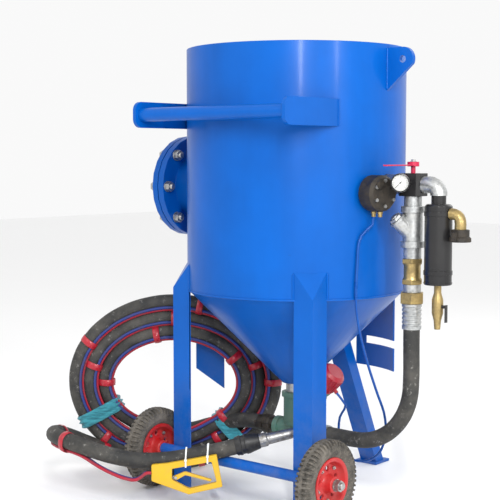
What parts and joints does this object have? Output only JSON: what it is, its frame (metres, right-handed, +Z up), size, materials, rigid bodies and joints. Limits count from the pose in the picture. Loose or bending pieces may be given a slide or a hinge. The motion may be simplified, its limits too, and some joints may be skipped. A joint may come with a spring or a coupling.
{
  "type": "abrasive blasting pot",
  "caption": "Wheeled abrasive blasting pot: coned pressure tank with filling hopper, manway, air piping, metering valve, coiled blast hose, nozzle and remote handle.",
  "frame": {"origin": "on the floor under the middle of the machine's bounding box, free hoses left out", "axes": "+Z up, +X along the wheel axle towards the air piping, -Y towards the push handle"},
  "size_m": [1.3892, 1.067, 1.41],
  "materials": {
    "blue_enamel": "gloss",
    "galvanised": "satin",
    "brass": "satin",
    "steel": "satin",
    "black_enamel": "gloss",
    "olive_casting": "matte",
    "green_casting": "satin",
    "red_plastic": "gloss",
    "red_enamel": "gloss",
    "lever_red": "satin",
    "tyre_rubber": "matte",
    "hose_rubber": "matte",
    "seal_rubber": "matte",
    "yellow_enamel": "gloss",
    "blue_tube": "gloss",
    "twin_jacket": "satin"
  },
  "bodies": {
    "pot": {"tank_shell": "blue_enamel", "top_head": "blue_enamel", "manway_neck": "blue_enamel", "manway_cover": "blue_enamel", "lifting_lug_right": "blue_enamel", "lifting_lug_left": "blue_enamel", "push_handle": "blue_enamel", "front_leg_right": "blue_enamel", "front_leg_left": "blue_enamel", "rear_leg": "blue_enamel", "skirt_plate_rear": "blue_enamel", "hose_rest": "blue_enamel", "axle": "blue_enamel", "seat_ring": "seal_rubber", "manway_gasket": "seal_rubber", "check_valve": "brass", "hose_nut": "brass", "drain_cock": "brass", "inlet_elbow": "brass", "inlet_pipe": "steel", "axle_nut_right": "steel", "axle_nut_left": "steel", "nozzle": "steel", "outlet_nipple": "galvanised", "hose_nipple": "galvanised", "strainer_body": "galvanised", "hose_ferrule_upper": "galvanised", "hose_ferrule_lower": "galvanised", "separator_elbow": "galvanised", "metering_body": "green_casting", "metering_bonnet": "green_casting", "mixing_tee": "green_casting", "actuator_cap": "red_plastic", "outlet_coupling": "olive_casting", "hose_coupling": "olive_casting", "inlet_coupling": "olive_casting", "control_valve": "olive_casting", "inlet_valve": "black_enamel", "separator_bowl": "black_enamel", "gauge_case": "black_enamel", "nozzle_holder": "black_enamel", "air_hose": "hose_rubber", "blast_hose_coil": "hose_rubber", "blast_hose_lead": "hose_rubber", "blast_hose_run": "hose_rubber", "pilot_tube": "blue_tube", "remote_frame": "yellow_enamel", "twin_line_run": "twin_jacket"},
    "popup": {"popup_valve": "brass"},
    "wheel_l": {"wheel_tyre_left": "tyre_rubber", "wheel_rim_left": "red_enamel"},
    "wheel_r": {"wheel_tyre_right": "tyre_rubber", "wheel_rim_right": "red_enamel"},
    "plunger": {"metering_plunger": "steel"},
    "inlet_handle": {"inlet_lever": "lever_red"},
    "drain_handle": {"drain_lever": "lever_red"},
    "needle": {"gauge_needle": "black_enamel"},
    "squeeze_lever": {"remote_lever": "yellow_enamel"}
  },
  "joints": [
    {"name": "popup_lift", "type": "slide", "parent": "pot", "child": "popup", "axis": [0, 0, 1], "range_m": [0, 0.025]},
    {"name": "wheel_left_spin", "type": "hinge", "parent": "pot", "child": "wheel_l", "pos_m": [-0.42315, -0.28358, 0.128], "axis": [1, 0, 0], "continuous": true},
    {"name": "wheel_right_spin", "type": "hinge", "parent": "pot", "child": "wheel_r", "pos_m": [0.26685, -0.28358, 0.128], "axis": [1, 0, 0], "continuous": true},
    {"name": "plunger_stroke", "type": "slide", "parent": "pot", "child": "plunger", "axis": [0.7071, 0, 0.7071], "range_m": [0, 0.02], "stiffness_N_per_m": 1500, "springref_m": -0.005},
    {"name": "inlet_lever_turn", "type": "hinge", "parent": "pot", "child": "inlet_handle", "pos_m": [0.36385, 0.01391, 1.043], "axis": [0, 0, 1], "range_deg": [0, 90]},
    {"name": "drain_lever_turn", "type": "hinge", "parent": "pot", "child": "drain_handle", "pos_m": [0.47585, 0.01391, 0.6305], "axis": [1, 0, 0], "range_deg": [0, 90]},
    {"name": "gauge_needle_turn", "type": "hinge", "parent": "pot", "child": "needle", "pos_m": [0.37185, -0.06609, 0.996], "axis": [-0.5, 0.866, 0], "range_deg": [0, 270], "stiffness_Nm_per_rad": 0.002},
    {"name": "squeeze_lever_turn", "type": "hinge", "parent": "pot", "child": "squeeze_lever", "pos_m": [-0.20738, -0.417, 0.09], "axis": [0.6428, -0.766, 0], "range_deg": [0, 10], "stiffness_Nm_per_rad": 1, "springref_deg": -5.73}
  ]
}
